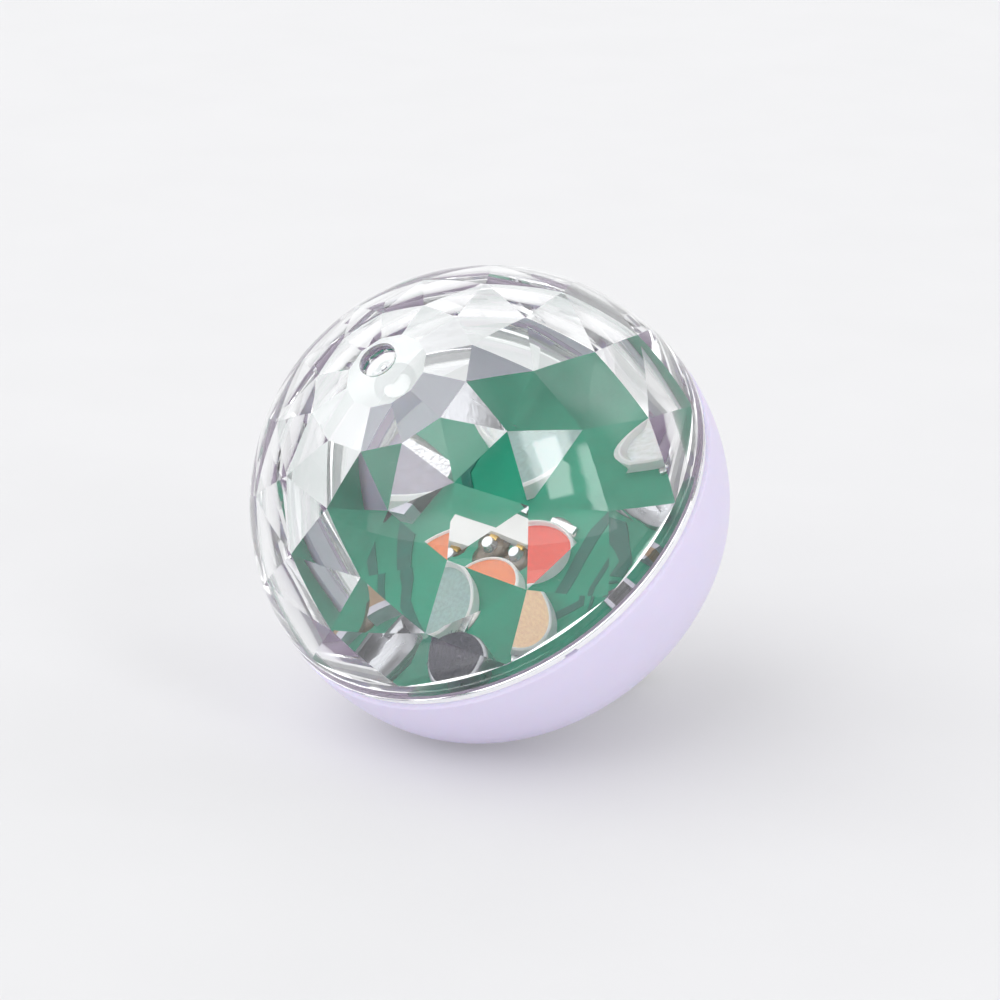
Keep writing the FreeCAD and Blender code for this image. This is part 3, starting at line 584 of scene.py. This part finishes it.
def hair(tree, given):
    arc = add(tree, "GeometryNodeCurveQuadraticBezier", {
        "Resolution": 5, "Start": (-HAIR_REACH, 0.0, 0.0), "Middle": (0.0, HAIR_BOW, HAIR_LIFT),
        "End": (HAIR_REACH, 0.0, 0.0)}).outputs["Curve"]
    return swept(tree, arc, disc_line(tree, 4, given["Hair radius"]))


chance = random.Random(HAIR_SEED)
hairs = []
for _ in range(HAIR_COUNT):
    reach, turn = FELT_RADIUS * math.sqrt(chance.random()), chance.uniform(0, math.tau)
    place = [middle + reach * share for middle, share in zip(MIC_CENTRE, (math.cos(turn), math.sin(turn)))]
    hairs.append((*place, FELT_TOP, chance.uniform(0, math.tau), chance.uniform(*HAIR_GROWTH)))
hair_grey = mottled("felt_hair", screen_colour(78, 78, 96), 0.9, spread=0.3, scale=4.0, Sheen_Weight=0.5)
stamped("felt_fibres", hairs, hair, {"Hair radius": 0.022}, hair_grey)

# %% [markdown]
# The lamp lies on a plain pale table that runs out of sight on every side. The table is a
# panel of milky acrylic with a weak light below it, as studios use to keep shadows light.

# %% Table
TABLE_REACH = 3.0
PALE = screen_colour(190, 190, 191)
corners = [(x * TABLE_REACH, y * TABLE_REACH, 0) for x, y in ((-1, -1), (1, -1), (1, 1), (-1, 1))]
table_mesh = bpy.data.meshes.new("table")
table_mesh.from_pydata(corners, [], [(0, 1, 2, 3)])
table = bpy.data.objects.new("table", table_mesh)
bpy.context.collection.objects.link(table)
pale_table = finish("pale_table", PALE, 0.7, Emission_Color=(1.0, 1.0, 1.0, 1.0), Emission_Strength=0.19)
wander(pale_table, "Base Color", grain(pale_table, lamp_point(pale_table), 0.05), *tones(PALE, 0.01))
table_mesh.materials.append(pale_table)
print("table laid")

# %% [markdown]
# The camera looks from the photograph's side, 350 mm from the ball's centre with a long lens.
# The photograph has the ball a little left of its middle and a little below it, so the camera
# aims that much to the right of the ball and above it.

# %% Camera
CAMERA_AZIMUTH = math.radians(44.7)
CAMERA_ELEVATION = math.radians(19.0)
CAMERA_DISTANCE = 0.350
FOCAL_PIXELS = 3360.0
PICTURE_PIXELS = 1000.0
BALL_PIXEL = Vector((489.7, 505.5))


def seen_towards(azimuth, elevation):
    """The way that points to an azimuth, counted from the front, and an elevation."""
    level = math.cos(elevation)
    return Vector((math.sin(azimuth) * level, -math.cos(azimuth) * level, math.sin(elevation)))


camera_way = seen_towards(CAMERA_AZIMUTH, CAMERA_ELEVATION)
picture_right = Vector((math.cos(CAMERA_AZIMUTH), math.sin(CAMERA_AZIMUTH), 0))
picture_up = camera_way.cross(picture_right)
per_pixel = CAMERA_DISTANCE / FOCAL_PIXELS
off_middle = Vector((PICTURE_PIXELS / 2, PICTURE_PIXELS / 2)) - BALL_PIXEL
aim = ball_centre + picture_right * off_middle.x * per_pixel - picture_up * off_middle.y * per_pixel
camera_data = bpy.data.cameras.new("camera")
camera_data.sensor_width = 36.0
camera_data.lens = FOCAL_PIXELS / PICTURE_PIXELS * camera_data.sensor_width
camera_data.clip_start = 0.01
camera = bpy.data.objects.new("camera", camera_data)
camera.location = ball_centre + camera_way * CAMERA_DISTANCE
camera.rotation_euler = (camera.location - aim).to_track_quat("Z", "Y").to_euler()
bpy.context.collection.objects.link(camera)
bpy.context.scene.camera = camera
print("camera at", camera.location)

# %% [markdown]
# A product studio is bright all round, with a few brighter windows. Painting them on the sky
# gives even light on the table and exact places for the reflections. The widest window, high
# before the dome, lights the scene. A low strip at the camera's side lights the bowl's
# underside, and a faint broad one stands at the back on the left. The tall narrow one at the
# right is the curved bright streak on the dome, and the square one behind it lights the facets
# on that side. Above the camera the room is darker, and the facets that mirror it keep the
# board's full green. Light is mirrored many times between the facets, so paths of up to 32
# bounces are followed.

# %% Light
world = bpy.data.worlds.new("studio")
world.use_nodes = True
sky = world.node_tree
looking = sky.nodes.new("ShaderNodeTexCoord").outputs["Generated"]


def along(way):
    """How far the looked-at way agrees with another: 1 where they are the same."""
    return add(sky, "ShaderNodeVectorMath", {0: looking, 1: way}, operation="DOT_PRODUCT").outputs["Value"]


def window(azimuth, elevation, width, height, soft, strength):
    """A bright window: where its middle is and how wide and high it is, in degrees, its edge and light."""
    azimuth, elevation = math.radians(azimuth), math.radians(elevation)
    front = seen_towards(azimuth, elevation)
    side = Vector((math.cos(azimuth), math.sin(azimuth), 0))
    depth = maths(sky, "MAXIMUM", along(front), 0.001)
    inside = []
    for way, angle in ((side, width), (front.cross(side), height)):
        off = maths(sky, "ABSOLUTE", maths(sky, "DIVIDE", along(way), depth))
        edge = math.tan(math.radians(angle / 2))
        inside.append(between(sky, off, edge - soft, edge + soft, 1.0, 0.0, "SMOOTHSTEP"))
    return maths(sky, "MULTIPLY", maths(sky, "MULTIPLY", *inside), strength)


ROOM, DARKEST = 0.76, 0.04
DARK_MIDDLE = seen_towards(math.radians(48), math.radians(32))
DARK_BEGINS, DARK_FULL = 0.86, 0.97
WINDOWS = (
    (-25, 50, 80, 56, 0.3, 1.6),
    (46, 3, 120, 22, 0.08, 1.1),
    (-112, 34, 96, 56, 0.2, 0.3),
    (81, 33, 12, 27, 0.02, 5.0),
    (140, 42, 30, 26, 0.1, 1.0),
)
COOLER = 1.01
BOUNCES = 32
light = between(sky, along(DARK_MIDDLE), DARK_BEGINS, DARK_FULL, ROOM, DARKEST, "SMOOTHSTEP")
for setting in WINDOWS:
    light = maths(sky, "ADD", light, window(*setting))
tinted = add(sky, "ShaderNodeCombineColor", {
    "Red": light, "Green": light, "Blue": maths(sky, "MULTIPLY", light, COOLER)}).outputs["Color"]
sky.links.new(tinted, sky.nodes["Background"].inputs["Color"])
bpy.context.scene.world = world
for kind in ("max_bounces", "glossy_bounces", "transmission_bounces"):
    setattr(bpy.context.scene.cycles, kind, BOUNCES)
bpy.context.scene.view_settings.view_transform = "Standard"
print("studio windows:", len(WINDOWS))
